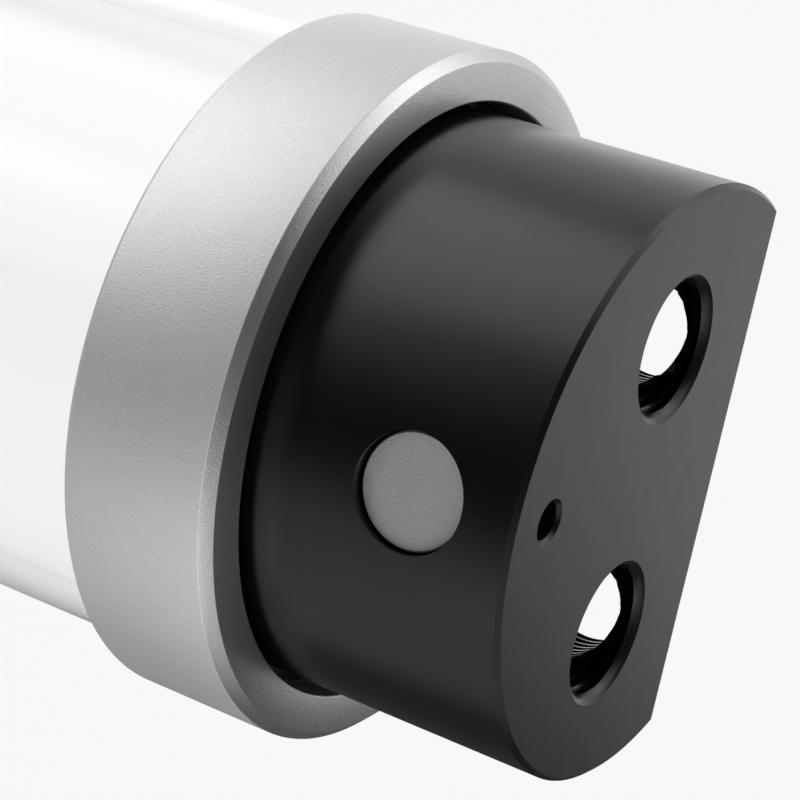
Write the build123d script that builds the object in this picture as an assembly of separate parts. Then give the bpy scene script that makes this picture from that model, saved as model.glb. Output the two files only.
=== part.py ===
from build123d import *
from math import radians, tan
import os

# Water cooling reservoir: a clear glass tube closed by two equal black end caps.
# At each end a metal retaining ring hooks over the cap's flange and screws onto a collar
# round the tube, which squeezes a seal against the outside of the glass.
# Lengths are millimetres. Z runs up the tube, the badges face -Y and the flats face +Y.

# Glass tube
TUBE_LENGTH = 150.0
TUBE_OUTER_R = 30.0
TUBE_WALL = 2.7
TUBE_EDGE = 0.4

# End cap: turned boss, flange, and spigot inside the tube
BOSS_HEIGHT = 24.6  # from the end face down to the front of the retaining ring
BOSS_EDGE = 0.45
FLANGE_THICKNESS = 2.7
SPIGOT_LENGTH = 8.4
SPIGOT_LEAD_IN = 0.7
SPIGOT_WALL = 3.1  # from the coolant chamber to the floor of the seal grooves
CHAMBER_ROOF = 27.2  # from the end face down to the roof of the coolant chamber

# Flat milled on the back of the boss
FLAT_CUT = 16.1  # milled off the round of the boss
FLAT_LENGTH = 21.9
FLAT_CORNER_R = 1.0

# Ports for G1/4 threads, drilled to the radius of the thread's crests
PORT_R = 5.9
PORT_RIM_R = 6.65
PORT_RIM_DEPTH = 0.25  # of the spot face that each port starts with
PORT_CONE_ANGLE = 60.0  # between the countersink and the port's axis
PORT_X = 12.85
PORT_Y = -3.9
TOP_PORT_DEPTH = 15.8
PASSAGE_R = 4.5
REAR_PORT_DROP = 7.9  # from the end face down to the axis of the ports in the flat

# Small threaded hole in the end face
SCREW_HOLE_R = 1.65
SCREW_RIM_R = 2.0
SCREW_CONE_ANGLE = 45.0
SCREW_HOLE_DEPTH = 9.0
SCREW_EDGE_DISTANCE = 6.1  # from the round of the boss in to the axis of the hole

# Badge disc in its pocket on the front of the boss
BADGE_R = 4.95
BADGE_THICKNESS = 1.1
BADGE_EDGE = 0.15
BADGE_SINK = 1.15  # from the front of the boss in to the face of the disc
BADGE_DROP = 9.9
BADGE_POCKET_R = 5.1
BADGE_PAD_R = 4.5
BADGE_PAD_THICKNESS = 0.3

# Retaining ring
RING_WALL = 1.2
RING_LENGTH = 15.45
RING_LIP_OVERLAP = 3.15  # of the lip over the cap's flange
RING_GAP = 1.0  # between the lip and the boss
RING_LIP_THICKNESS = 3.6
RING_FRONT_CHAMFER = 0.95
RING_REAR_CHAMFER = 0.65
RING_BORE_CHAMFER = 0.3
RING_LIP_EDGE = 0.15

# Threaded collar inside the ring
COLLAR_WALL = 1.3
COLLAR_LENGTH = 4.4
COLLAR_EDGE = 0.3
NOTCH_COUNT = 6
NOTCH_WIDTH = 3.6
NOTCH_DEPTH = 1.3

# Seals and washers
THRUST_WASHER_THICKNESS = 0.6
BACKUP_THICKNESS = 1.5
GASKET_THICKNESS = 1.0
SPIGOT_SEAL_DIAMETER = 1.5
SEAL_FLAT_SHARE = 0.45  # share of a seal's width that is pressed flat on each side
SPIGOT_GROOVE_WIDTH = 2.1
SPIGOT_GROOVE_LAND = 1.7  # from the flange to the first groove
SPIGOT_GROOVE_PITCH = 3.4

# Clearances
THREAD_CLEARANCE = 0.05
RUNNING_CLEARANCE = 0.05
SEAL_CLEARANCE = 0.02
TUBE_CLEARANCE = 0.15
COLLAR_TUBE_CLEARANCE = 0.2
FLANGE_CLEARANCE = 0.25

# How far a cutter reaches past the round that it cuts
CUT_MARGIN = 1.0

# Sizes that follow from the values above
TUBE_INNER_R = TUBE_OUTER_R - TUBE_WALL
SPIGOT_R = TUBE_INNER_R - TUBE_CLEARANCE
COLLAR_INNER_R = TUBE_OUTER_R + COLLAR_TUBE_CLEARANCE
COLLAR_OUTER_R = COLLAR_INNER_R + COLLAR_WALL
RING_BORE_R = COLLAR_OUTER_R + THREAD_CLEARANCE
FLANGE_R = RING_BORE_R - FLANGE_CLEARANCE
RING_OUTER_R = RING_BORE_R + RING_WALL
RING_LIP_BORE_R = FLANGE_R - RING_LIP_OVERLAP
BOSS_R = RING_LIP_BORE_R - RING_GAP
FLAT_Y = BOSS_R - FLAT_CUT
SCREW_HOLE_Y = SCREW_EDGE_DISTANCE - BOSS_R
BADGE_FACE = BOSS_R - BADGE_SINK
GROOVE_R = TUBE_INNER_R - SPIGOT_SEAL_DIAMETER - 2 * SEAL_CLEARANCE
CHAMBER_R = GROOVE_R - SPIGOT_WALL
OUTER_SEAL_DIAMETER = RING_BORE_R - TUBE_OUTER_R - 2 * SEAL_CLEARANCE

# Heights measured down from the end face
RING_SHOULDER = BOSS_HEIGHT + RING_LIP_THICKNESS
FLANGE_TOP = RING_SHOULDER + THRUST_WASHER_THICKNESS + 2 * RUNNING_CLEARANCE
FLANGE_BOTTOM = FLANGE_TOP + FLANGE_THICKNESS
TUBE_END = FLANGE_BOTTOM + GASKET_THICKNESS
SPIGOT_END = FLANGE_BOTTOM + SPIGOT_LENGTH
BACKUP_BOTTOM = FLANGE_BOTTOM + BACKUP_THICKNESS
OUTER_SEAL_DROP = BACKUP_BOTTOM + SEAL_CLEARANCE + OUTER_SEAL_DIAMETER / 2
COLLAR_TOP = OUTER_SEAL_DROP + OUTER_SEAL_DIAMETER / 2 + RUNNING_CLEARANCE
COLLAR_BOTTOM = COLLAR_TOP + COLLAR_LENGTH
RING_BOTTOM = BOSS_HEIGHT + RING_LENGTH
HEIGHT = TUBE_LENGTH + 2 * TUBE_END


def turned(corners):
    """Solid of revolution about Z, from (radius, depth below the end face) corners."""
    outline = Polyline(*[(radius, 0, -depth) for radius, depth in corners], close=True)
    return revolve(make_face(outline), axis=Axis.Z)


def flat_ring(inner_r, outer_r, top, bottom):
    """Plain washer between two depths below the end face."""
    return turned([(inner_r, top), (outer_r, top), (outer_r, bottom), (inner_r, bottom)])


def seal_ring(middle_r, section_diameter, depth):
    """O-ring at its squeezed size, flat where it bears and bevelled at its shoulders."""
    reach = section_diameter / 2
    flat = reach * SEAL_FLAT_SHARE
    sides = [(-flat, -reach), (flat, -reach), (reach, -flat), (reach, flat),
             (flat, reach), (-flat, reach), (-reach, flat), (-reach, -flat)]
    return turned([(middle_r + across, depth + along) for across, along in sides])


def rod(radius, start, end):
    """Round bar between two points that lie on one line along X, Y or Z."""
    length = (Vector(*end) - Vector(*start)).length
    middle = (Vector(*end) + Vector(*start)) / 2
    axis = (Vector(*end) - Vector(*start)).normalized()
    return Plane(origin=middle, z_dir=axis) * Cylinder(radius, length)


def rim_cone(rim_r, hole_r, mouth, inward, angle):
    """Countersink from a hole's rim down to its wall, at an angle to the hole's axis."""
    depth = (rim_r - hole_r) / tan(radians(angle))
    middle = Vector(*mouth) + Vector(*inward) * (depth / 2)
    return Plane(origin=middle, z_dir=Vector(*inward)) * Cone(rim_r, hole_r, depth)


def port_rim(mouth, inward):
    """Shallow spot face at a port's mouth, and the countersink below it."""
    floor = Vector(*mouth) + Vector(*inward) * PORT_RIM_DEPTH
    spot_face = rod(PORT_RIM_R, mouth, tuple(floor))
    return spot_face + rim_cone(PORT_RIM_R, PORT_R, tuple(floor), inward, PORT_CONE_ANGLE)


def spigot_groove_top(number):
    """Depth of the upper edge of one seal groove on the spigot."""
    return FLANGE_BOTTOM + SPIGOT_GROOVE_LAND + number * SPIGOT_GROOVE_PITCH


def cap_blank():
    """The cap as it leaves the lathe: boss, flange, grooved spigot and coolant chamber."""
    corners = [
        (0, 0),
        (BOSS_R - BOSS_EDGE, 0),
        (BOSS_R, BOSS_EDGE),
        (BOSS_R, FLANGE_TOP),
        (FLANGE_R, FLANGE_TOP),
        (FLANGE_R, FLANGE_BOTTOM),
        (SPIGOT_R, FLANGE_BOTTOM),
    ]
    for number in range(2):
        top = spigot_groove_top(number)
        bottom = top + SPIGOT_GROOVE_WIDTH
        corners += [(SPIGOT_R, top), (GROOVE_R, top), (GROOVE_R, bottom), (SPIGOT_R, bottom)]
    corners += [
        (SPIGOT_R, SPIGOT_END - SPIGOT_LEAD_IN),
        (SPIGOT_R - SPIGOT_LEAD_IN / 2, SPIGOT_END),
        (CHAMBER_R, SPIGOT_END),
        (CHAMBER_R, CHAMBER_ROOF),
        (0, CHAMBER_ROOF),
    ]
    return turned(corners)


def flat_cutter():
    """Block that mills the flat, with the cutter's round left in the inside corner."""
    depth = FLAT_CUT + CUT_MARGIN
    width = 2 * (BOSS_R + CUT_MARGIN)
    block = Pos(0, FLAT_Y + depth / 2, 0) * Box(width, depth, 2 * FLAT_LENGTH)
    inner_corner = block.edges().filter_by(Axis.X).group_by(Axis.Y)[0].sort_by(Axis.Z)[0]
    return fillet(inner_corner, FLAT_CORNER_R)


def port_cutter(side):
    """Both ports on one side of the cap: one down from the end face, and one in from the
    flat that runs through into the first."""
    x = side * PORT_X
    down = rod(PORT_R, (x, PORT_Y, 0), (x, PORT_Y, -TOP_PORT_DEPTH))
    passage = rod(PASSAGE_R, (x, PORT_Y, -TOP_PORT_DEPTH / 2), (x, PORT_Y, -CHAMBER_ROOF))
    level = -REAR_PORT_DROP
    back = rod(PORT_R, (x, FLAT_Y, level), (x, PORT_Y, level))
    rims = port_rim((x, PORT_Y, 0), (0, 0, -1)) + port_rim((x, FLAT_Y, level), (0, -1, 0))
    return down + passage + back + rims


def screw_hole_cutter():
    """Blind hole for a small screw in the end face."""
    hole = rod(SCREW_HOLE_R, (0, SCREW_HOLE_Y, 0), (0, SCREW_HOLE_Y, -SCREW_HOLE_DEPTH))
    rim = rim_cone(SCREW_RIM_R, SCREW_HOLE_R, (0, SCREW_HOLE_Y, 0), (0, 0, -1), SCREW_CONE_ANGLE)
    return hole + rim


def badge_disc_back():
    return BADGE_FACE - BADGE_THICKNESS


def badge_pocket_floor():
    return badge_disc_back() - BADGE_PAD_THICKNESS


def badge_pocket_cutter():
    """Round pocket sunk square to the tube's axis."""
    floor = (0, -badge_pocket_floor(), -BADGE_DROP)
    mouth = (0, -BOSS_R - CUT_MARGIN, -BADGE_DROP)
    return rod(BADGE_POCKET_R, floor, mouth)


def end_cap():
    """Acetal cap with its flat, ports, screw hole and badge pocket."""
    cap = cap_blank() - flat_cutter()
    for side in (-1, 1):
        cap = cap - port_cutter(side)
    return cap - screw_hole_cutter() - badge_pocket_cutter()


def retaining_ring():
    """Ring with a lip that hooks over the flange and a bore that screws onto the collar."""
    return turned([
        (RING_LIP_BORE_R + RING_LIP_EDGE, BOSS_HEIGHT),
        (RING_OUTER_R - RING_FRONT_CHAMFER, BOSS_HEIGHT),
        (RING_OUTER_R, BOSS_HEIGHT + RING_FRONT_CHAMFER),
        (RING_OUTER_R, RING_BOTTOM - RING_REAR_CHAMFER),
        (RING_OUTER_R - RING_REAR_CHAMFER, RING_BOTTOM),
        (RING_BORE_R + RING_BORE_CHAMFER, RING_BOTTOM),
        (RING_BORE_R, RING_BOTTOM - RING_BORE_CHAMFER),
        (RING_BORE_R, RING_SHOULDER),
        (RING_LIP_BORE_R, RING_SHOULDER),
        (RING_LIP_BORE_R, BOSS_HEIGHT + RING_LIP_EDGE),
    ])


def threaded_collar():
    """Collar round the glass, with notches for a pin spanner in its open end."""
    collar = turned([
        (COLLAR_INNER_R, COLLAR_TOP),
        (COLLAR_OUTER_R - COLLAR_EDGE, COLLAR_TOP),
        (COLLAR_OUTER_R, COLLAR_TOP + COLLAR_EDGE),
        (COLLAR_OUTER_R, COLLAR_BOTTOM - COLLAR_EDGE),
        (COLLAR_OUTER_R - COLLAR_EDGE, COLLAR_BOTTOM),
        (COLLAR_INNER_R, COLLAR_BOTTOM),
    ])
    notch = Box(4 * COLLAR_WALL, NOTCH_WIDTH, 2 * NOTCH_DEPTH)
    for turn in range(NOTCH_COUNT):
        angle = turn * 360 / NOTCH_COUNT
        collar = collar - Rot(0, 0, angle) * Pos(COLLAR_OUTER_R, 0, -COLLAR_BOTTOM) * notch
    return collar


def badge_disc():
    """Bare metal disc on the front of the boss."""
    plate = rod(BADGE_R, (0, -badge_disc_back(), -BADGE_DROP), (0, -BADGE_FACE, -BADGE_DROP))
    return chamfer(plate.edges().group_by(Axis.Y)[0], BADGE_EDGE)


def badge_pad():
    """Adhesive pad between the disc and the pocket's floor."""
    return rod(BADGE_PAD_R, (0, -badge_pocket_floor(), -BADGE_DROP),
               (0, -badge_disc_back(), -BADGE_DROP))


def glass_tube():
    """Tube with its sharp edges taken off."""
    return turned([
        (TUBE_INNER_R + TUBE_EDGE, TUBE_END),
        (TUBE_OUTER_R - TUBE_EDGE, TUBE_END),
        (TUBE_OUTER_R, TUBE_END + TUBE_EDGE),
        (TUBE_OUTER_R, HEIGHT - TUBE_END - TUBE_EDGE),
        (TUBE_OUTER_R - TUBE_EDGE, HEIGHT - TUBE_END),
        (TUBE_INNER_R + TUBE_EDGE, HEIGHT - TUBE_END),
        (TUBE_INNER_R, HEIGHT - TUBE_END - TUBE_EDGE),
        (TUBE_INNER_R, TUBE_END + TUBE_EDGE),
    ])


def end_pieces():
    """Every piece of one end, with the end face at height 0 and the tube below it."""
    washer_inner_r = RING_LIP_BORE_R + RUNNING_CLEARANCE
    outer_seal_r = TUBE_OUTER_R + SEAL_CLEARANCE + OUTER_SEAL_DIAMETER / 2
    spigot_seal_r = TUBE_INNER_R - SEAL_CLEARANCE - SPIGOT_SEAL_DIAMETER / 2
    pieces = {
        "end_cap": end_cap(),
        "retaining_ring": retaining_ring(),
        "threaded_collar": threaded_collar(),
        "thrust_washer": flat_ring(washer_inner_r, FLANGE_R, RING_SHOULDER + RUNNING_CLEARANCE,
                                   FLANGE_TOP - RUNNING_CLEARANCE),
        "seal_backup_ring": flat_ring(COLLAR_INNER_R, COLLAR_OUTER_R - THREAD_CLEARANCE,
                                      FLANGE_BOTTOM, BACKUP_BOTTOM),
        "outer_seal": seal_ring(outer_seal_r, OUTER_SEAL_DIAMETER, OUTER_SEAL_DROP),
        "tube_end_gasket": flat_ring(SPIGOT_R + SEAL_CLEARANCE, TUBE_OUTER_R,
                                     FLANGE_BOTTOM, TUBE_END),
        "badge_disc": badge_disc(),
        "badge_pad": badge_pad(),
    }
    for number, name in enumerate(("spigot_seal_near", "spigot_seal_far")):
        depth = spigot_groove_top(number) + SPIGOT_GROOVE_WIDTH / 2
        pieces[name] = seal_ring(spigot_seal_r, SPIGOT_SEAL_DIAMETER, depth)
    return pieces


def main():
    os.makedirs("parts", exist_ok=True)
    ends = {"top": Pos(0, 0, HEIGHT), "bottom": Rot(0, 180, 0)}
    for name, piece in end_pieces().items():
        for end, place in ends.items():
            export_step(place * piece, f"parts/{end}_{name}.step")
    export_step(Pos(0, 0, HEIGHT) * glass_tube(), "parts/glass_tube.step")


main()
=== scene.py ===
# %% [markdown]
# The imported model is the frame that every piece here is fitted to.
# It is loaded first, and its box is kept and printed at the end.
# All lengths below are real millimetres, turned into Blender's metres by one factor.

# %% Load the frame
import bpy
import math
from mathutils import Matrix, Vector


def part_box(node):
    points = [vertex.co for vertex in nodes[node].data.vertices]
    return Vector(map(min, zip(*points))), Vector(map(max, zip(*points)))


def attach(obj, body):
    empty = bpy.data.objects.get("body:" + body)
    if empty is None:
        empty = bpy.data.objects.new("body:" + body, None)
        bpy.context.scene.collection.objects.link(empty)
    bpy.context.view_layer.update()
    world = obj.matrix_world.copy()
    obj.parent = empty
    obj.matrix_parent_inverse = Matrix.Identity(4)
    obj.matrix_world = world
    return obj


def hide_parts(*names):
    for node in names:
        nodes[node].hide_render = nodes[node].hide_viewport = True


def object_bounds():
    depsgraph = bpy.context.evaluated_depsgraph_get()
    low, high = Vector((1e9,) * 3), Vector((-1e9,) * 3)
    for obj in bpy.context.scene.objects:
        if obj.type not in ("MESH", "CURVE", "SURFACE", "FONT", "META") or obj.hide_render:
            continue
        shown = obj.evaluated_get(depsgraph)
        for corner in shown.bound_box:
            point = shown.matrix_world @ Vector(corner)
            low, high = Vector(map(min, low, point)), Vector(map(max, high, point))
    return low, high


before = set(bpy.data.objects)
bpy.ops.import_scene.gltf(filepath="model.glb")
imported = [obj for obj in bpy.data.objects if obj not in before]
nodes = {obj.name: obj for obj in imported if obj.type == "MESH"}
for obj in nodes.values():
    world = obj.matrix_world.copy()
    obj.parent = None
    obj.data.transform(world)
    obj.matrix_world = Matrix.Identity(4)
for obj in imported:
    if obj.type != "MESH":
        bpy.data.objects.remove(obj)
cad_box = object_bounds()
MM = 0.001
HEIGHT = cad_box[1].z
print("frame loaded:", len(nodes), "nodes, height", round(HEIGHT / MM, 1), "mm")


# %% [markdown]
# Each size that a node's box can tell is read from the frame, so that it is never written twice.
# Depths are counted from the upper end face downwards.
# CLEAR and FIT are the two gaps that pieces of the solids keep from each other. CLEAR is also the
# small allowance that is used further on wherever a surface must lie safely inside another.

# %% Sizes from the frame
CLEAR = 0.02 * MM
FIT = 0.05 * MM


def radius_of(node):
    """Outer radius of a round node, from its box."""
    low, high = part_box(node)
    return (high.x - low.x) / 2


def depths_of(node):
    """How far below the upper end face a node of the upper end starts and stops."""
    low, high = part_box(node)
    return HEIGHT - high.z, HEIGHT - low.z


RING_R = radius_of("top_retaining_ring")
RING_TOP, RING_BOTTOM = depths_of("top_retaining_ring")
RING_BORE_R = radius_of("top_threaded_collar") + FIT
FLANGE_R = radius_of("top_end_cap")
FLANGE_TOP = depths_of("top_thrust_washer")[1] + FIT
FLANGE_BOTTOM = depths_of("top_tube_end_gasket")[0]
SPIGOT_END = depths_of("top_end_cap")[1]
TUBE_R = radius_of("glass_tube")
TUBE_END = depths_of("glass_tube")[0]
TUBE_INNER_R = radius_of("top_spigot_seal_near") + CLEAR
BADGE_R = radius_of("top_badge_disc")
BADGE_FACE_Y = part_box("top_badge_disc")[0].y
BADGE_BACK_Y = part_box("top_badge_disc")[1].y
BADGE_FLOOR_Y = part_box("top_badge_pad")[1].y
BADGE_DROP = sum(depths_of("top_badge_disc")) / 2
print("radii in mm: ring", round(RING_R / MM, 2), "tube", round(TUBE_R / MM, 2),
      "flange", round(FLANGE_R / MM, 2), "badge", round(BADGE_R / MM, 2))


# %% [markdown]
# The boss, the ports and the flat lie inside the cap's box, so their sizes are written here, and
# they are the same as in the solids.
# Only the port's mouth differs a little. A countersink wears round, so PORT_MOUTH lists the radius
# and the depth of a curve that stays within 0.15 mm of the solids' cone.
# The thread is the standard G1/4, with its root just inside the solids' rim and its crest at
# their bore.

# %% Sizes inside the cap
BOSS_R = 27.15 * MM
BOSS_EDGE = 0.45 * MM
CHAMBER_R = 22.66 * MM
CHAMBER_ROOF = 27.2 * MM
FLAT_Y = 11.05 * MM
FLAT_LENGTH = 21.9 * MM
FLAT_CORNER_R = 1.0 * MM
PORT_MOUTH = [(6.65 * MM, 0), (6.33 * MM, 0.17 * MM), (6.2 * MM, 0.27 * MM), (6.07 * MM, 0.43 * MM),
              (5.9 * MM, 0.72 * MM)]
PORT_X = 12.85 * MM
PORT_Y = -3.9 * MM
PORT_DEPTH = 15.8 * MM
PASSAGE_R = 4.5 * MM
REAR_PORT_DROP = 7.9 * MM
REAR_PORT_DEPTH = FLAT_Y - PORT_Y
THREAD_PITCH = 1.337 * MM
THREAD_ROOT_R = 6.58 * MM
THREAD_CREST_R = 5.9 * MM
THREAD_START = 0.85 * MM
THREAD_CROSSING_R = 6.22 * MM
SCREW_HOLE_R = 1.65 * MM
SCREW_RIM_R = 2.0 * MM
SCREW_HOLE_DEPTH = 9.0 * MM
SCREW_HOLE_Y = -21.05 * MM
BADGE_POCKET_R = 5.1 * MM
print("ports", round(2 * PORT_X / MM, 1), "mm apart, thread", round(2 * THREAD_ROOT_R / MM, 2), "mm")


# %% [markdown]
# The photograph is taken with a long lens, a little above the upper end face and left of the badge.
# It is turned on its side, so that the tube runs off to the left and the flat stands on the right.
# The place, the direction and the turn were worked out from the round outlines of cap and ring.

# %% Camera
CAMERA_FROM_TOP = Vector((-55.34, -202.61, 82.31)) * MM
CAMERA_LOOKS = Vector((0.23519, 0.85547, -0.46136))
CAMERA_UP = Vector((-0.95005, 0.10215, -0.29491))
LENS = 116.33
SENSOR = 36.0
NEAREST = 0.01
FARTHEST = 50.0


def add_camera():
    """Camera at the photograph's place, rolled as the photograph is."""
    camera = bpy.data.objects.new("camera", bpy.data.cameras.new("camera"))
    bpy.context.scene.collection.objects.link(camera)
    back = -CAMERA_LOOKS.normalized()
    right = CAMERA_UP.cross(back).normalized()
    up = back.cross(right)
    turned = Matrix((right, up, back)).transposed().to_4x4()
    place = Vector((0, 0, HEIGHT)) + CAMERA_FROM_TOP
    camera.matrix_world = Matrix.Translation(place) @ turned
    camera.data.lens = LENS
    camera.data.sensor_width = SENSOR
    camera.data.clip_start = NEAREST
    camera.data.clip_end = FARTHEST
    bpy.context.scene.camera = camera


add_camera()
print("camera stands", round(CAMERA_FROM_TOP.length / MM), "mm from the upper end face")


# %% [markdown]
# Colours are written as the hex values that a screen shows, and one function turns them into
# the linear values that Blender's sockets want.
# A second function adds one node with its settings and its inputs. An input is given as a value
# or as a socket to link, under its name, or under its number where a node has two of one name.
# So each material below reads as a list of what its surface is made of.

# %% Material helpers
MIX_COLOURS = (6, 7)
MIXED_COLOUR = 2


def colour(hex_value):
    """Linear colour of an sRGB hex value such as 'c8c9cb'."""
    channels = [int(hex_value[i:i + 2], 16) / 255 for i in (0, 2, 4)]
    linear = [c / 12.92 if c <= 0.04045 else ((c + 0.055) / 1.055) ** 2.4 for c in channels]
    return (*linear, 1.0)


def add_node(tree, kind, inputs=None, **settings):
    """One node. Settings are its attributes, and inputs are values or sockets."""
    node = tree.nodes.new(kind)
    for name, value in settings.items():
        setattr(node, name, value)
    for key, value in (inputs or {}).items():
        if isinstance(value, bpy.types.NodeSocket):
            tree.links.new(value, node.inputs[key])
        else:
            node.inputs[key].default_value = value
    return node


def new_material(name):
    """Empty node material, as (material, tree, socket with the place on the object)."""
    material = bpy.data.materials.new(name)
    material.use_nodes = True
    tree = material.node_tree
    tree.nodes.clear()
    return material, tree, add_node(tree, "ShaderNodeTexCoord").outputs["Object"]


def show(tree, shader):
    """Closes a material with its output."""
    add_node(tree, "ShaderNodeOutputMaterial", {"Surface": shader.outputs[0]})


print("hex c8c9cb is linear", [round(channel, 3) for channel in colour("c8c9cb")])


# %% [markdown]
# Bead-blasted aluminium: the ring is turned, blasted with fine glass beads and anodised clear.
# The beads leave dimples of about 0.15 mm, which blur every reflection into a soft sheen with a
# faint grain, so the metal is rough and a fine noise dents it. The same noise paints the dimples in a
# darker grey, which is painted shade. A second, coarser noise shifts the
# roughness a little, as the blast never falls quite evenly.
# The ring's front is faced finely after that, so it takes the same recipe with a clearer shine.
# The badge disc is blasted too, in a darker metal.

# %% Blasted aluminium
BEAD_DIMPLE = 0.145 * MM
FACING_DIMPLE = 0.16 * MM
BLAST_DRIFT = 9.0 * MM
BLAST_SPREAD = 0.04


def blasted_metal(name, base, dimple_painted_shade, roughness, metallic, dimple, depth):
    """Metal with blasted dimples. The second colour is painted shade, laid into the dimples."""
    material, tree, place = new_material(name)
    grain = add_node(tree, "ShaderNodeTexNoise",
                     {"Vector": place, "Scale": 1 / dimple, "Detail": 2.0, "Roughness": 0.6})
    drift = add_node(tree, "ShaderNodeTexNoise", {"Vector": place, "Scale": 1 / BLAST_DRIFT, "Detail": 3.0})
    # Where the noise dents the metal, it paints it in the darker colour: painted shade in the dimples.
    tint = add_node(tree, "ShaderNodeMix",
                    {"Factor": grain.outputs["Fac"], MIX_COLOURS[0]: colour(dimple_painted_shade), MIX_COLOURS[1]: colour(base)},
                    data_type="RGBA")
    sheen = add_node(tree, "ShaderNodeMapRange",
                     {"Value": drift.outputs["Fac"],
                      "To Min": roughness - BLAST_SPREAD, "To Max": roughness + BLAST_SPREAD})
    dents = add_node(tree, "ShaderNodeBump",
                     {"Strength": 0.5, "Distance": depth, "Height": grain.outputs["Fac"]})
    show(tree, add_node(tree, "ShaderNodeBsdfPrincipled",
                        {"Metallic": metallic, "Base Color": tint.outputs[MIXED_COLOUR],
                         "Roughness": sheen.outputs["Result"], "Normal": dents.outputs["Normal"]}))
    return material


# The second colour of each metal is the painted shade in its dimples.
RING_METAL = blasted_metal("bead_blasted_aluminium", "efefef", "c9c9c9", roughness=0.48, metallic=0.62,
                           dimple=BEAD_DIMPLE, depth=0.068 * MM)
FACED_METAL = blasted_metal("fine_faced_aluminium", "e9e9e9", "b4b4b4", roughness=0.32, metallic=0.95,
                            dimple=FACING_DIMPLE, depth=0.05 * MM)
BADGE_METAL = blasted_metal("blasted_badge_metal", "c6c6c6", "aeaeae", roughness=0.50, metallic=0.6,
                            dimple=FACING_DIMPLE, depth=0.07 * MM)
print("metals:", RING_METAL.name, FACED_METAL.name, BADGE_METAL.name)


# %% [markdown]
# Turned aluminium: the collar inside the ring comes straight off the lathe and is left bare, so
# it shines in shallow steps. They run round the tube's axis, so they are bands along Z.
# At scale 1 a wave texture goes through 20 radians in a unit of length, and a full wave is a step.

# %% Turned aluminium
STEP_SPACING = 1.57 * MM
STEP_DEPTH = 0.02 * MM
WAVE_RADIANS = 20


def turned_metal(name, base, roughness, spacing):
    """Bare metal with the steps that a lathe leaves."""
    material, tree, place = new_material(name)
    lines = add_node(tree, "ShaderNodeTexWave",
                     {"Vector": place, "Scale": math.tau / WAVE_RADIANS / spacing, "Distortion": 0.3, "Detail": 1.0},
                     bands_direction="Z")
    dents = add_node(tree, "ShaderNodeBump",
                     {"Strength": 0.35, "Distance": STEP_DEPTH, "Height": lines.outputs["Fac"]})
    show(tree, add_node(tree, "ShaderNodeBsdfPrincipled",
                        {"Metallic": 1.0, "Base Color": colour(base), "Roughness": roughness,
                         "Normal": dents.outputs["Normal"]}))
    return material


COLLAR_METAL = turned_metal("bright_turned_aluminium", "b9babd", roughness=0.32, spacing=STEP_SPACING)
print("metal:", COLLAR_METAL.name, "with a step every", round(STEP_SPACING / MM, 2), "mm")


# %% [markdown]
# Black acetal: the caps are turned and milled from black rod. The plastic is nearly black, and a
# fine tool leaves it satin, so all that the eye gets is the soft sheen of the lamps.
# A very fine grain and a light waxy mottle keep that sheen from looking like paint.
# The tapped threads lie deep in a hole and take a darker, less glossy copy of it: painted shade of the hole.
# Nylon, rubber and foam follow the same recipe with their own colours and roughness.

# %% Black acetal and the other plastics
MOTTLE = 3.0 * MM
TOOL_GRAIN = 0.12 * MM
PLASTIC_SPREAD = 0.03


def satin_plastic(name, base, light, roughness, depth, gloss=0.5):
    """Plastic with a mottle between two colours, and a fine grain of the given depth."""
    material, tree, place = new_material(name)
    mottle = add_node(tree, "ShaderNodeTexNoise", {"Vector": place, "Scale": 1 / MOTTLE, "Detail": 4.0})
    grain = add_node(tree, "ShaderNodeTexNoise", {"Vector": place, "Scale": 1 / TOOL_GRAIN, "Detail": 1.0})
    tint = add_node(tree, "ShaderNodeMix",
                    {"Factor": mottle.outputs["Fac"], MIX_COLOURS[0]: colour(base), MIX_COLOURS[1]: colour(light)},
                    data_type="RGBA")
    sheen = add_node(tree, "ShaderNodeMapRange",
                     {"Value": mottle.outputs["Fac"],
                      "To Min": roughness - PLASTIC_SPREAD, "To Max": roughness + PLASTIC_SPREAD})
    dents = add_node(tree, "ShaderNodeBump",
                     {"Strength": 0.15, "Distance": depth, "Height": grain.outputs["Fac"]})
    show(tree, add_node(tree, "ShaderNodeBsdfPrincipled",
                        {"IOR": 1.48, "Specular IOR Level": gloss, "Base Color": tint.outputs[MIXED_COLOUR],
                         "Roughness": sheen.outputs["Result"], "Normal": dents.outputs["Normal"]}))
    return material


ACETAL = satin_plastic("satin_black_acetal", "060606", "080808", roughness=0.27, depth=0.004 * MM)
# The threads' copy is darker and mirrors less than the acetal above: painted shade of the holes.
SHADED_THREAD_ACETAL = satin_plastic("tapped_black_acetal", "040404", "070707", roughness=0.25, depth=0.004 * MM,
                              gloss=0.2)
NYLON = satin_plastic("natural_nylon", "dcdbd3", "e6e5de", roughness=0.45, depth=0.02 * MM)
RUBBER = satin_plastic("nitrile_rubber", "111111", "191919", roughness=0.55, depth=0.02 * MM)
ADHESIVE = satin_plastic("foam_adhesive", "26262a", "303034", roughness=0.7, depth=0.03 * MM)
print("plastics:", ", ".join(m.name for m in (ACETAL, SHADED_THREAD_ACETAL, NYLON, RUBBER, ADHESIVE)))


# %% [markdown]
# Clear glass: the tube is drawn borosilicate, polished and free of colour, so it shows the pale
# backdrop through its walls and a few faint streaks of the lamps on them.
# Drawing leaves very long, shallow waves, which bend those streaks a little.

# %% Clear glass
DRAW_WAVE = 40.0 * MM
DRAW_DEPTH = 0.02 * MM


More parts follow.
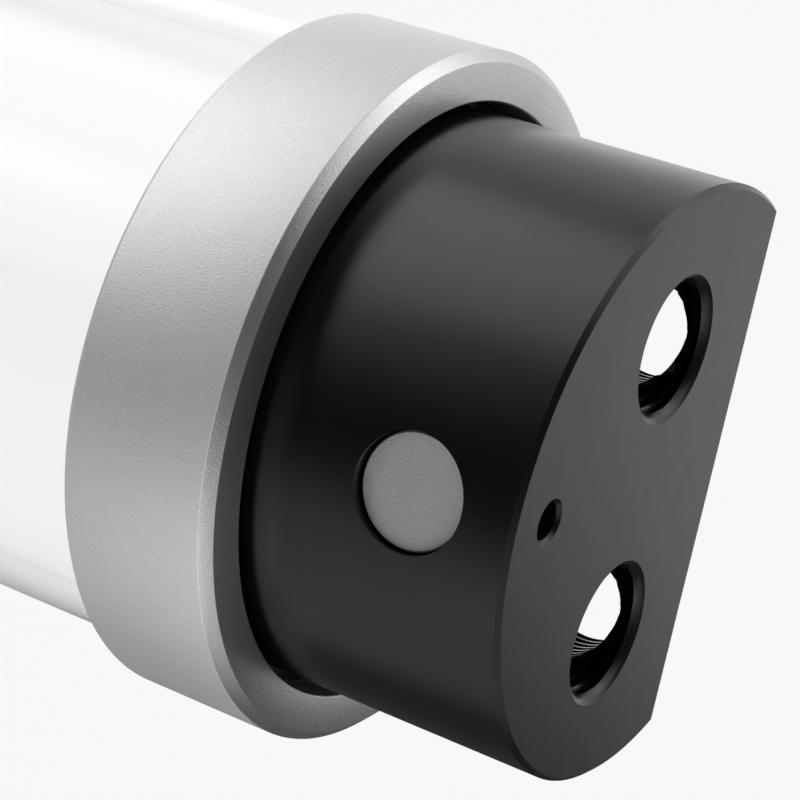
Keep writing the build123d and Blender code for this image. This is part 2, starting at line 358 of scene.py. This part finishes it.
def clear_glass(name, tint):
    """Clear glass with the waves of a drawn tube."""
    material, tree, place = new_material(name)
    wave = add_node(tree, "ShaderNodeTexNoise", {"Vector": place, "Scale": 1 / DRAW_WAVE, "Detail": 1.0})
    ripple = add_node(tree, "ShaderNodeBump",
                      {"Strength": 0.02, "Distance": DRAW_DEPTH, "Height": wave.outputs["Fac"]})
    show(tree, add_node(tree, "ShaderNodeBsdfPrincipled",
                        {"Transmission Weight": 1.0, "Roughness": 0.0, "IOR": 1.47, "Base Color": colour(tint),
                         "Normal": ripple.outputs["Normal"]}))
    return material


GLASS = clear_glass("clear_borosilicate_glass", "fdfdfd")
print("glass:", GLASS.name)


# %% [markdown]
# The solids carry one material slot each, and the finishes go into those slots.
# The collars, washers, seals, gaskets and pads keep their solid shape. They are small and mostly
# hidden, and they show only when the object is taken apart.

# %% Dress the solids
FINISHES = {
    "end_cap": ACETAL, "retaining_ring": RING_METAL, "threaded_collar": COLLAR_METAL,
    "thrust_washer": NYLON, "seal_backup_ring": NYLON, "outer_seal": RUBBER,
    "tube_end_gasket": RUBBER, "badge_disc": BADGE_METAL, "badge_pad": ADHESIVE,
    "spigot_seal_near": RUBBER, "spigot_seal_far": RUBBER, "glass_tube": GLASS,
}
for name, node in nodes.items():
    kind = name.replace("top_", "").replace("bottom_", "")
    node.data.materials.clear()
    node.data.materials.append(FINISHES[kind])
print("dressed", len(nodes), "solids")


# %% [markdown]
# Most pieces of the reservoir are turned, and a turned piece can be made as a lathe makes it:
# a circle is added, and its edge is pulled along the outline, corner by corner, by extruding it
# and scaling it to the next radius. One helper does this for any outline of radii and heights.
# A closed outline gives a ring, and an open one is closed with a face at each end.

# %% Lathe helper
STEPS = 256
MERGE = 0.001 * MM


def all_deselected():
    """Object mode, with nothing selected."""
    if bpy.context.object and bpy.context.object.mode != "OBJECT":
        bpy.ops.object.mode_set(mode="OBJECT")
    bpy.ops.object.select_all(action="DESELECT")


def take(piece):
    """Makes a piece the only selected and active one."""
    all_deselected()
    piece.select_set(True)
    bpy.context.view_layer.objects.active = piece


def apply_place(piece):
    """Puts a piece's place into its mesh, so that its object stays at the origin."""
    take(piece)
    bpy.ops.object.transform_apply(location=True, rotation=True, scale=True)
    return piece


def lathe(name, corners, closed, steps=STEPS):
    """Turned piece from (radius, height) corners. A closed outline joins its last corner to its first."""
    all_deselected()
    radius, height = corners[0]
    bpy.ops.mesh.primitive_circle_add(vertices=steps, radius=radius, location=(0, 0, height),
                                      fill_type="NOTHING" if closed else "NGON")
    piece = bpy.context.object
    piece.name = piece.data.name = name
    apply_place(piece)
    bpy.ops.object.mode_set(mode="EDIT")
    bpy.ops.mesh.select_mode(type="EDGE")
    bpy.ops.mesh.select_all(action="SELECT")
    if not closed:
        bpy.ops.mesh.region_to_loop()
    for next_radius, next_height in corners[1:] + (corners[:1] if closed else []):
        bpy.ops.mesh.extrude_edges_move(
            TRANSFORM_OT_translate={"value": (0, 0, next_height - height)})
        share = next_radius / radius
        bpy.ops.transform.resize(value=(share, share, 1), center_override=(0, 0, 0))
        radius, height = next_radius, next_height
    if not closed:
        bpy.ops.mesh.edge_face_add()
    bpy.ops.mesh.select_all(action="SELECT")
    bpy.ops.mesh.remove_doubles(threshold=MERGE)
    bpy.ops.mesh.normals_make_consistent(inside=False)
    bpy.ops.object.mode_set(mode="OBJECT")
    return piece


print("lathe ready,", STEPS, "steps round")


# %% [markdown]
# A piece is made with its end face at height 0. It is then moved in its mesh, never as an object,
# because each piece has to stand unmoved at the origin in the end.
# Cutters work as the real tools do: each is cut out of the piece and thrown away.
# Both ends of the reservoir are alike, so a finished piece goes to the upper end and its copy,
# half a turn round Y, to the lower end. There each rides on its body, takes its solid's slot and
# hides the solid that it stands for.

# %% Moving, cutting and placing
def moved(piece, place, tilt=0.0):
    """Tilts a piece about X and moves it, all in its mesh."""
    piece.matrix_world = Matrix.Translation(place) @ Matrix.Rotation(tilt, 4, "X")
    return apply_place(piece)


def turned_over(piece):
    """Turns an upper piece into the lower one: half a turn about Y, onto the floor."""
    piece.matrix_world = Matrix.Rotation(math.pi, 4, "Y")
    return apply_place(piece)


def cut(piece, cutters):
    """Cuts each cutter out of a piece and deletes the cutters."""
    for cutter in cutters:
        take(piece)
        bpy.ops.object.modifier_add(type="BOOLEAN")
        modifier = piece.modifiers[-1]
        modifier.operation = "DIFFERENCE"
        modifier.solver = "EXACT"
        modifier.object = cutter
        bpy.ops.object.modifier_apply(modifier=modifier.name)
        bpy.data.objects.remove(cutter)
    return piece


def finish_shading(piece, degrees=25):
    """Smooth shading over every edge that turns less than the angle."""
    take(piece)
    bpy.ops.object.shade_smooth_by_angle(angle=math.radians(degrees))


def copy_of(piece, name):
    """A copy with its own mesh."""
    twin = piece.copy()
    twin.data = piece.data.copy()
    twin.name = twin.data.name = name
    bpy.context.scene.collection.objects.link(twin)
    return twin


def place_both_ends(piece, kind, finish, body, node):
    """Sets one piece at the upper end and its copy at the lower end, dressed and riding."""
    piece.data.materials.clear()
    piece.data.materials.append(finish)
    lower = copy_of(piece, "bottom_" + kind)
    piece.name = piece.data.name = "top_" + kind
    pair = {"top": moved(piece, (0, 0, HEIGHT)), "bottom": turned_over(lower)}
    for end, made in pair.items():
        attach(made, body.format(end=end))
        if node:
            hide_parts(f"{end}_{node}")
    print(kind, "at both ends,", len(piece.data.polygons), "faces each")
    return pair


print("ends stand at 0 and", round(HEIGHT / MM, 1), "mm")


# %% [markdown]
# Retaining ring: a plain turned ring with a wide chamfer at its front, a narrow one at its back,
# and a lip that reaches in over the cap's flange.
# The outline is turned with sharp corners, and a small bevel modifier rounds them all, as the
# blasting does on the real ring.
# The front is faced finely afterwards, from the chamfer in to the lip's edge, so the faces that
# look forward there take the second metal.

# %% Retaining rings
RING_LIP_R = 28.15 * MM
RING_SHOULDER = RING_TOP + 3.6 * MM
RING_FRONT_CHAMFER = 0.95 * MM
RING_REAR_CHAMFER = 0.65 * MM
RING_BORE_CHAMFER = 0.3 * MM
RING_LIP_EDGE = 0.15 * MM
BLASTED_EDGE_R = 0.06 * MM
BLASTED_EDGE_STEPS = 3
CHAMFER_FACING = math.sqrt(0.5) - 0.01


def rounded_edges(piece, width, degrees=20):
    """Small rounds on every edge that turns sharper than the angle."""
    take(piece)
    bpy.ops.object.modifier_add(type="BEVEL")
    modifier = piece.modifiers[-1]
    modifier.width = width
    modifier.segments = BLASTED_EDGE_STEPS
    modifier.limit_method = "ANGLE"
    modifier.angle_limit = math.radians(degrees)
    bpy.ops.object.modifier_apply(modifier=modifier.name)


def face_the_front(piece, front):
    """Gives the faced metal to the front's faces. Front is 1 where it looks up and -1 where down."""
    piece.data.materials.append(FACED_METAL)
    for face in piece.data.polygons:
        facing = face.normal.z * front
        at_lip = math.hypot(face.center.x, face.center.y) < RING_LIP_R + 2 * RING_LIP_EDGE
        face.material_index = int(facing > CHAMFER_FACING or (at_lip and facing > 0))


ring = lathe("ring", [
    (RING_LIP_R + RING_LIP_EDGE, -RING_TOP),
    (RING_R - RING_FRONT_CHAMFER, -RING_TOP),
    (RING_R, -RING_TOP - RING_FRONT_CHAMFER),
    (RING_R, -RING_BOTTOM + RING_REAR_CHAMFER),
    (RING_R - RING_REAR_CHAMFER, -RING_BOTTOM),
    (RING_BORE_R + RING_BORE_CHAMFER, -RING_BOTTOM),
    (RING_BORE_R, -RING_BOTTOM + RING_BORE_CHAMFER),
    (RING_BORE_R, -RING_SHOULDER),
    (RING_LIP_R, -RING_SHOULDER),
    (RING_LIP_R, -RING_TOP - RING_LIP_EDGE),
], closed=True)
rounded_edges(ring, BLASTED_EDGE_R)
finish_shading(ring, degrees=40)
rings = place_both_ends(ring, "screw_ring", RING_METAL, "{end}_ring", "retaining_ring")
face_the_front(rings["top"], 1)
face_the_front(rings["bottom"], -1)


# %% [markdown]
# End cap: turned from black rod, then milled and drilled. The blank is made on the lathe helper,
# with the boss, the flange under the ring, the spigot with its two seal grooves and the coolant
# chamber.

# %% Cap blank
GROOVES = 2
GROOVE_FLOOR_R = 25.76 * MM
GROOVE_WIDTH = 2.1 * MM
GROOVE_LAND = 1.7 * MM
GROOVE_PITCH = 3.4 * MM
SPIGOT_R = TUBE_INNER_R - 0.15 * MM
LEAD_IN = 0.7 * MM


def cap_blank():
    """The turned cap, before it is milled and drilled."""
    corners = [
        (BOSS_R - BOSS_EDGE, 0), (BOSS_R, -BOSS_EDGE), (BOSS_R, -FLANGE_TOP),
        (FLANGE_R, -FLANGE_TOP), (FLANGE_R, -FLANGE_BOTTOM), (SPIGOT_R, -FLANGE_BOTTOM),
    ]
    for number in range(GROOVES):
        top = -FLANGE_BOTTOM - GROOVE_LAND - number * GROOVE_PITCH
        corners += [(SPIGOT_R, top), (GROOVE_FLOOR_R, top),
                    (GROOVE_FLOOR_R, top - GROOVE_WIDTH), (SPIGOT_R, top - GROOVE_WIDTH)]
    corners += [
        (SPIGOT_R, LEAD_IN - SPIGOT_END), (SPIGOT_R - LEAD_IN / 2, -SPIGOT_END),
        (CHAMBER_R, -SPIGOT_END), (CHAMBER_R, -CHAMBER_ROOF),
    ]
    return lathe("cap", corners, closed=False)


cap = cap_blank()
print("cap blank,", len(cap.data.polygons), "faces")


# %% [markdown]
# The flat, the ports, the screw hole and the badge pocket are cut with cutters that have the shape
# of the real tools, so a drill leaves its own countersink at the rim.
# The flat is milled with a round-nosed cutter, so its block has one rounded edge, which leaves
# a small round in the corner between the flat and the ledge below it.
# A drill starts OVER above the face that it enters. A port's drill has 90 steps, because two equal
# bores cross here, and with some other counts their walls touch along a line and the cut fails.

# %% Cap cutters
OVER = 1.0 * MM
PORT_STEPS = 90
FLAT_CORNER_STEPS = 8


def flat_cutter():
    """Block with one rounded edge, behind the flat and down to its ledge."""
    all_deselected()
    depth = BOSS_R - FLAT_Y + OVER
    bpy.ops.mesh.primitive_cube_add(size=1, location=(0, FLAT_Y + depth / 2, (OVER - FLAT_LENGTH) / 2))
    block = bpy.context.object
    block.scale = (2 * (BOSS_R + OVER), depth, FLAT_LENGTH + OVER)
    apply_place(block)
    bpy.ops.object.mode_set(mode="EDIT")
    bpy.ops.mesh.select_all(action="DESELECT")
    bpy.ops.object.mode_set(mode="OBJECT")
    for edge in block.data.edges:
        ends = [block.data.vertices[v].co for v in edge.vertices]
        edge.select = all(e.y < FLAT_Y + CLEAR and e.z < CLEAR - FLAT_LENGTH for e in ends)
    bpy.ops.object.mode_set(mode="EDIT")
    bpy.ops.mesh.select_mode(type="EDGE")
    bpy.ops.mesh.bevel(offset=FLAT_CORNER_R, segments=FLAT_CORNER_STEPS)
    bpy.ops.object.mode_set(mode="OBJECT")
    return block


def drill(corners, place, tilt=0.0):
    """Stepped drill from (radius, depth) corners, which enters at a place along its own axis."""
    outline = [(radius, -depth) for radius, depth in corners]
    return moved(lathe("drill", outline, closed=False, steps=PORT_STEPS), place, tilt)


def port_drill(depth, place, tilt=0.0, passage=()):
    """Drill for one port: rounded countersink, a short land, the thread's root, and a passage below."""
    (rim_r, rim), (next_r, below) = PORT_MOUTH[:2]
    above = (2 * rim_r - next_r, 2 * rim - below)
    corners = [(above[0], -OVER), above] + PORT_MOUTH[1:]
    corners += [(THREAD_CREST_R, THREAD_START), (THREAD_ROOT_R, THREAD_START), (THREAD_ROOT_R, depth)]
    return drill(corners + list(passage), place, tilt)


print("a port's drill is", round((PORT_DEPTH + OVER) / MM, 1), "mm long")


# %% [markdown]
# The order of the cuts is that of a shop: first the flat, then the ports from above and from the
# flat, then the screw hole and the badge's pocket.

# %% End caps
def cap_cutters():
    """All cutters of one cap, with the end face at height 0."""
    passage = [(PASSAGE_R, PORT_DEPTH), (PASSAGE_R, CHAMBER_ROOF + OVER)]
    cutters = [flat_cutter()]
    for side in (-1, 1):
        cutters.append(port_drill(PORT_DEPTH, (side * PORT_X, PORT_Y, 0), passage=passage))
        cutters.append(port_drill(REAR_PORT_DEPTH, (side * PORT_X, FLAT_Y, -REAR_PORT_DROP), -math.pi / 2))
    cutters.append(drill([(SCREW_RIM_R, -OVER), (SCREW_RIM_R, 0), (SCREW_HOLE_R, SCREW_RIM_R - SCREW_HOLE_R),
                          (SCREW_HOLE_R, SCREW_HOLE_DEPTH)], (0, SCREW_HOLE_Y, 0)))
    pocket = lathe("pocket", [(BADGE_POCKET_R, 0), (BADGE_POCKET_R, 2 * OVER + BOSS_R + BADGE_FLOOR_Y)],
                   closed=False, steps=PORT_STEPS)
    cutters.append(moved(pocket, (0, BADGE_FLOOR_Y, -BADGE_DROP), math.pi / 2))
    return cutters


cut(cap, cap_cutters())
finish_shading(cap)
place_both_ends(cap, "cap", ACETAL, "reservoir", "end_cap")


# %% [markdown]
# Port threads: each port has the standard parallel pipe thread, 1.337 mm a turn. It is a raised
# helix inside the bore, so one small profile of the thread's flanks is added as a circle of four
# corners, shaped, and wound up the port's axis with a Screw modifier, which makes it right-handed.
# It starts at +X, so its crest passes +Y a quarter turn later. It is wound on past its first
# whole crest and out of the mouth, and the tool that cuts the mouth takes those turns off again.

# %% Thread ridge
THREAD_FOOT = 0.54 * MM
THREAD_CREST = 0.185 * MM
THREAD_TURNS = 11
TURNS_CUT_OFF = 2
QUARTER_TURN = 0.25
FIRST_CREST = 1.59 * MM
THREAD_STEPS = 64


def thread_ridge(name):
    """Helical ridge up a bore and out past its mouth. Its first whole crest at +Y lies at FIRST_CREST."""
    all_deselected()
    bpy.ops.mesh.primitive_circle_add(vertices=4, radius=THREAD_FOOT, fill_type="NOTHING")
    ridge = bpy.context.object
    ridge.name = ridge.data.name = name
    apply_place(ridge)
    start = -FIRST_CREST - (THREAD_TURNS - TURNS_CUT_OFF + QUARTER_TURN) * THREAD_PITCH
    outline = [(THREAD_ROOT_R + CLEAR, THREAD_FOOT), (THREAD_CREST_R, THREAD_CREST),
               (THREAD_CREST_R, -THREAD_CREST), (THREAD_ROOT_R + CLEAR, -THREAD_FOOT)]
    for vertex, (radius, height) in zip(ridge.data.vertices, outline):
        vertex.co = (radius, 0, height + start)
    bpy.ops.object.modifier_add(type="SCREW")
    screw = ridge.modifiers[-1]
    screw.axis = "Z"
    screw.screw_offset = THREAD_PITCH
    screw.iterations = THREAD_TURNS
    screw.steps = screw.render_steps = THREAD_STEPS
    screw.use_merge_vertices = False
    bpy.ops.object.modifier_apply(modifier=screw.name)
    bpy.ops.object.mode_set(mode="EDIT")
    bpy.ops.mesh.select_all(action="DESELECT")
    bpy.ops.mesh.select_mode(type="EDGE")
    bpy.ops.mesh.select_non_manifold()
    bpy.ops.mesh.edge_face_add()
    bpy.ops.mesh.select_all(action="SELECT")
    bpy.ops.mesh.normals_make_consistent(inside=False)
    bpy.ops.object.mode_set(mode="OBJECT")
    return ridge


print("thread of", THREAD_TURNS, "turns,", round(THREAD_PITCH / MM, 3), "mm each")


# %% [markdown]
# A lip of whole plastic stays between the countersink and the first groove, so the mouth tool
# takes away all of the ridge that would stand above it.
# Where two ports meet, each one's bore cuts the other's thread.

# %% Port threads
def mouth_tool():
    """Everything above the short land under the countersink, where no thread may stand."""
    level = PORT_MOUTH[-1][1]
    return lathe("mouth", [(2 * THREAD_ROOT_R, 2 * THREAD_PITCH), (2 * THREAD_ROOT_R, -level)],
                 closed=False, steps=PORT_STEPS)


def port_thread(name, place, tilt, crossing):
    """The thread of one port, opened where the drill that crosses it goes."""
    ridge = cut(thread_ridge(name), [mouth_tool()])
    depth, crossing_place, crossing_tilt = crossing
    bore = drill([(THREAD_CROSSING_R, -OVER), (THREAD_CROSSING_R, depth)], crossing_place, crossing_tilt)
    return cut(moved(ridge, place, tilt), [bore])


threads = []
for side, word in ((-1, "left"), (1, "right")):
    upright = (PORT_DEPTH, (side * PORT_X, PORT_Y, 0), 0.0)
    rear = (REAR_PORT_DEPTH, (side * PORT_X, FLAT_Y, -REAR_PORT_DROP), -math.pi / 2)
    threads.append(port_thread("port_thread_" + word, upright[1], upright[2], rear))
    threads.append(port_thread("rear_port_thread_" + word, rear[1], rear[2], upright))
# The threads take the darker acetal, which is painted shade of the holes.
for thread in threads:
    finish_shading(thread, degrees=30)
    place_both_ends(thread, thread.data.name, SHADED_THREAD_ACETAL, "reservoir", None)


# %% [markdown]
# Glass tube: a plain drawn tube with its sharp end edges ground off.

# %% Glass tube
GROUND_EDGE = 0.4 * MM
tube = lathe("clear_tube", [
    (TUBE_INNER_R + GROUND_EDGE, TUBE_END),
    (TUBE_R - GROUND_EDGE, TUBE_END),
    (TUBE_R, TUBE_END + GROUND_EDGE),
    (TUBE_R, HEIGHT - TUBE_END - GROUND_EDGE),
    (TUBE_R - GROUND_EDGE, HEIGHT - TUBE_END),
    (TUBE_INNER_R + GROUND_EDGE, HEIGHT - TUBE_END),
    (TUBE_INNER_R, HEIGHT - TUBE_END - GROUND_EDGE),
    (TUBE_INNER_R, TUBE_END + GROUND_EDGE),
], closed=True)
finish_shading(tube)
tube.data.materials.append(GLASS)
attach(tube, "reservoir")
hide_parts("glass_tube")
print("tube,", len(tube.data.polygons), "faces")


# %% [markdown]
# Badge disc: a bare blasted metal disc with a fine bevelled edge, turned on the lathe helper and
# tilted to face out of its pocket. The real one carries a mark, which is left off.

# %% Badge discs
BADGE_BEVEL = 0.15 * MM
BADGE_STEPS = 128
thickness = BADGE_BACK_Y - BADGE_FACE_Y
disc = lathe("disc", [
    (BADGE_R, 0), (BADGE_R, thickness - BADGE_BEVEL), (BADGE_R - BADGE_BEVEL, thickness),
], closed=False, steps=BADGE_STEPS)
moved(disc, (0, BADGE_BACK_Y, -BADGE_DROP), math.pi / 2)
finish_shading(disc)
place_both_ends(disc, "badge", BADGE_METAL, "reservoir", "badge_disc")


# %% [markdown]
# Studio lamps: the photograph was lit by large soft boxes, and black acetal shows each of them as
# a soft band along the cap. They are far off, so they are drawn into the world as round bright
# patches with soft edges, and the object is lit and mirrored by them alike.
# Each is given by its way round the tube, counted from the badge side towards +X, its height over
# the horizon, the half angles where it is full and where it ends, and its strength.
# The side that the camera looks from stays dark, which is what makes the cap read as black.
# The overhead light counts for diffuse rays only, because the end face mirrors no lamp up there.
# It is given by the two half angles and its strength.

# %% Studio lamps
BACKDROP = "f3f3f3"
ROOM_LEVEL = 0.07
OVERHEAD = (30, 90, 0.85)
LAMPS = {
    "key_box": (-78, -40, 16, 35, 2.2),
    "key_spill": (-37, -48, 3, 23, 1.75),
    "high_box": (-114, 36, 14, 36, 1.1),
    "back_card": (-154, 1, 44, 53, 0.82),
    "back_low": (-168, -38, 8, 22, 0.45),
    "under_card": (172, -66, 20, 42, 0.9),
    "fill_low": (60, -31, 14, 42, 0.5),
    "fill_mid": (48, 9, 12, 36, 1.2),
    "fill_high": (74, 42, 14, 40, 0.55),
    "front_card": (12, 22, 10, 30, 0.3),
}


def towards(way_round, height):
    """Direction of a lamp from its way round the tube and its height, in degrees."""
    turn, rise = math.radians(way_round), math.radians(height)
    return Vector((math.cos(rise) * math.sin(turn), -math.cos(rise) * math.cos(turn), math.sin(rise)))


def lamp_patch(tree, look, direction, full, end, strength):
    """Socket with the brightness of one lamp, seen in the direction of the ray."""
    facing = add_node(tree, "ShaderNodeVectorMath", {0: look, 1: direction}, operation="DOT_PRODUCT")
    patch = add_node(tree, "ShaderNodeMapRange",
                     {"Value": facing.outputs["Value"], "To Min": 0.0, "To Max": strength,
                      "From Min": math.cos(math.radians(end)), "From Max": math.cos(math.radians(full))},
                     interpolation_type="SMOOTHSTEP")
    return patch.outputs["Result"]


def calculated(tree, operation, first, second):
    """Socket with the sum or product of two sockets or numbers."""
    return add_node(tree, "ShaderNodeMath", {0: first, 1: second}, operation=operation).outputs["Value"]


def plain_view(tree):
    """Socket that is 1 for what the camera sees, also through glass, and 0 for all other rays."""
    path = add_node(tree, "ShaderNodeLightPath")
    return calculated(tree, "ADD", path.outputs["Is Camera Ray"], path.outputs["Is Transmission Ray"])


print(len(LAMPS), "lamps, the strongest at", max(lamp[-1] for lamp in LAMPS.values()))


# %% [markdown]
# The world adds up the lamps, the overhead light and the faint light of the room.
# The camera doesn't see them: it sees the pale backdrop in their place, also through the glass.

# %% World
def add_world():
    """World with the lamps, and the backdrop for plain views."""
    world = bpy.data.worlds.new("studio")
    bpy.context.scene.world = world
    world.use_nodes = True
    tree = world.node_tree
    tree.nodes.clear()
    look = add_node(tree, "ShaderNodeTexCoord").outputs["Generated"]
    path = add_node(tree, "ShaderNodeLightPath")
    overhead = lamp_patch(tree, look, Vector((0, 0, 1)), *OVERHEAD)
    soft_only = calculated(tree, "MULTIPLY", overhead, path.outputs["Is Diffuse Ray"])
    total = calculated(tree, "ADD", soft_only, ROOM_LEVEL)
    for way_round, height, full, end, strength in LAMPS.values():
        patch = lamp_patch(tree, look, towards(way_round, height), full, end, strength)
        total = calculated(tree, "ADD", total, patch)
    lamps = add_node(tree, "ShaderNodeBackground", {"Color": (1, 1, 1, 1), "Strength": total})
    room = add_node(tree, "ShaderNodeBackground", {"Color": colour(BACKDROP)})
    mix = add_node(tree, "ShaderNodeMixShader",
                   {0: plain_view(tree), 1: lamps.outputs["Background"], 2: room.outputs["Background"]})
    add_node(tree, "ShaderNodeOutputWorld", {"Surface": mix.outputs["Shader"]})
    print("world with", len(tree.nodes), "nodes")


add_world()


# %% [markdown]
# Floor: the object stands on a wide pale floor that fills the picture. Painted plainly it would
# darken with its distance from the lamps, so for the camera a share of it glows in the backdrop's
# colour, and the rest is diffuse paint that keeps the object's shadow.
# The lamps reach below the horizon, so mirrored and scattered rays pass the floor by.

# %% Floor
FLOOR_R = 8.0
FLOOR_STEPS = 64
FLOOR_GLOW = 0.64


def add_floor():
    """Pale round floor, staged so that it isn't taken for a piece of the object."""
    all_deselected()
    bpy.ops.mesh.primitive_circle_add(vertices=FLOOR_STEPS, radius=FLOOR_R, fill_type="NGON")
    floor = bpy.context.object
    floor.name = floor.data.name = "floor"
    material, tree, _ = new_material("pale_floor_paint")
    paint = add_node(tree, "ShaderNodeBsdfDiffuse", {"Color": colour("fafafa")})
    glow = add_node(tree, "ShaderNodeEmission", {"Color": colour(BACKDROP)})
    share = calculated(tree, "MULTIPLY", plain_view(tree), FLOOR_GLOW)
    show(tree, add_node(tree, "ShaderNodeMixShader",
                        {0: share, 1: paint.outputs["BSDF"], 2: glow.outputs["Emission"]}))
    floor.data.materials.append(material)
    floor.visible_glossy = False
    floor.visible_diffuse = False
    print("floor", 2 * FLOOR_R, "m across")


add_floor()
bpy.context.scene.view_settings.view_transform = "Standard"


# %% [markdown]
# The last cell prints the box of the solids.

# %% Box of the solids
print("cad box", [round(v / MM, 2) for c in cad_box for v in c])
